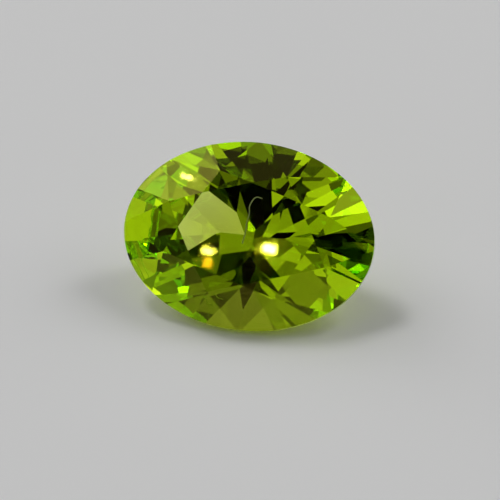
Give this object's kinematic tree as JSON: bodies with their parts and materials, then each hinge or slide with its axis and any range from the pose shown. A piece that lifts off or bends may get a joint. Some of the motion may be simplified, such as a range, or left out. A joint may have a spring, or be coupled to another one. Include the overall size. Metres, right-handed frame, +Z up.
{
  "type": "faceted peridot",
  "caption": "Loose oval brilliant-cut peridot: a clear yellow-green gemstone with a flat table, a faceted crown and pavilion and a ground girdle, lying on a pavilion facet.",
  "frame": {"origin": "middle of the stone's box in plan, on the surface it rests on", "axes": "+X along the oval's length, +Z up, and the table leans towards -Y"},
  "size_m": [0.008, 0.0046, 0.0042],
  "materials": {
    "peridot": "polished facets with a ground girdle, clear yellow-green right through"
  },
  "bodies": {
    "root": {"peridot": "peridot"}
  },
  "joints": []
}
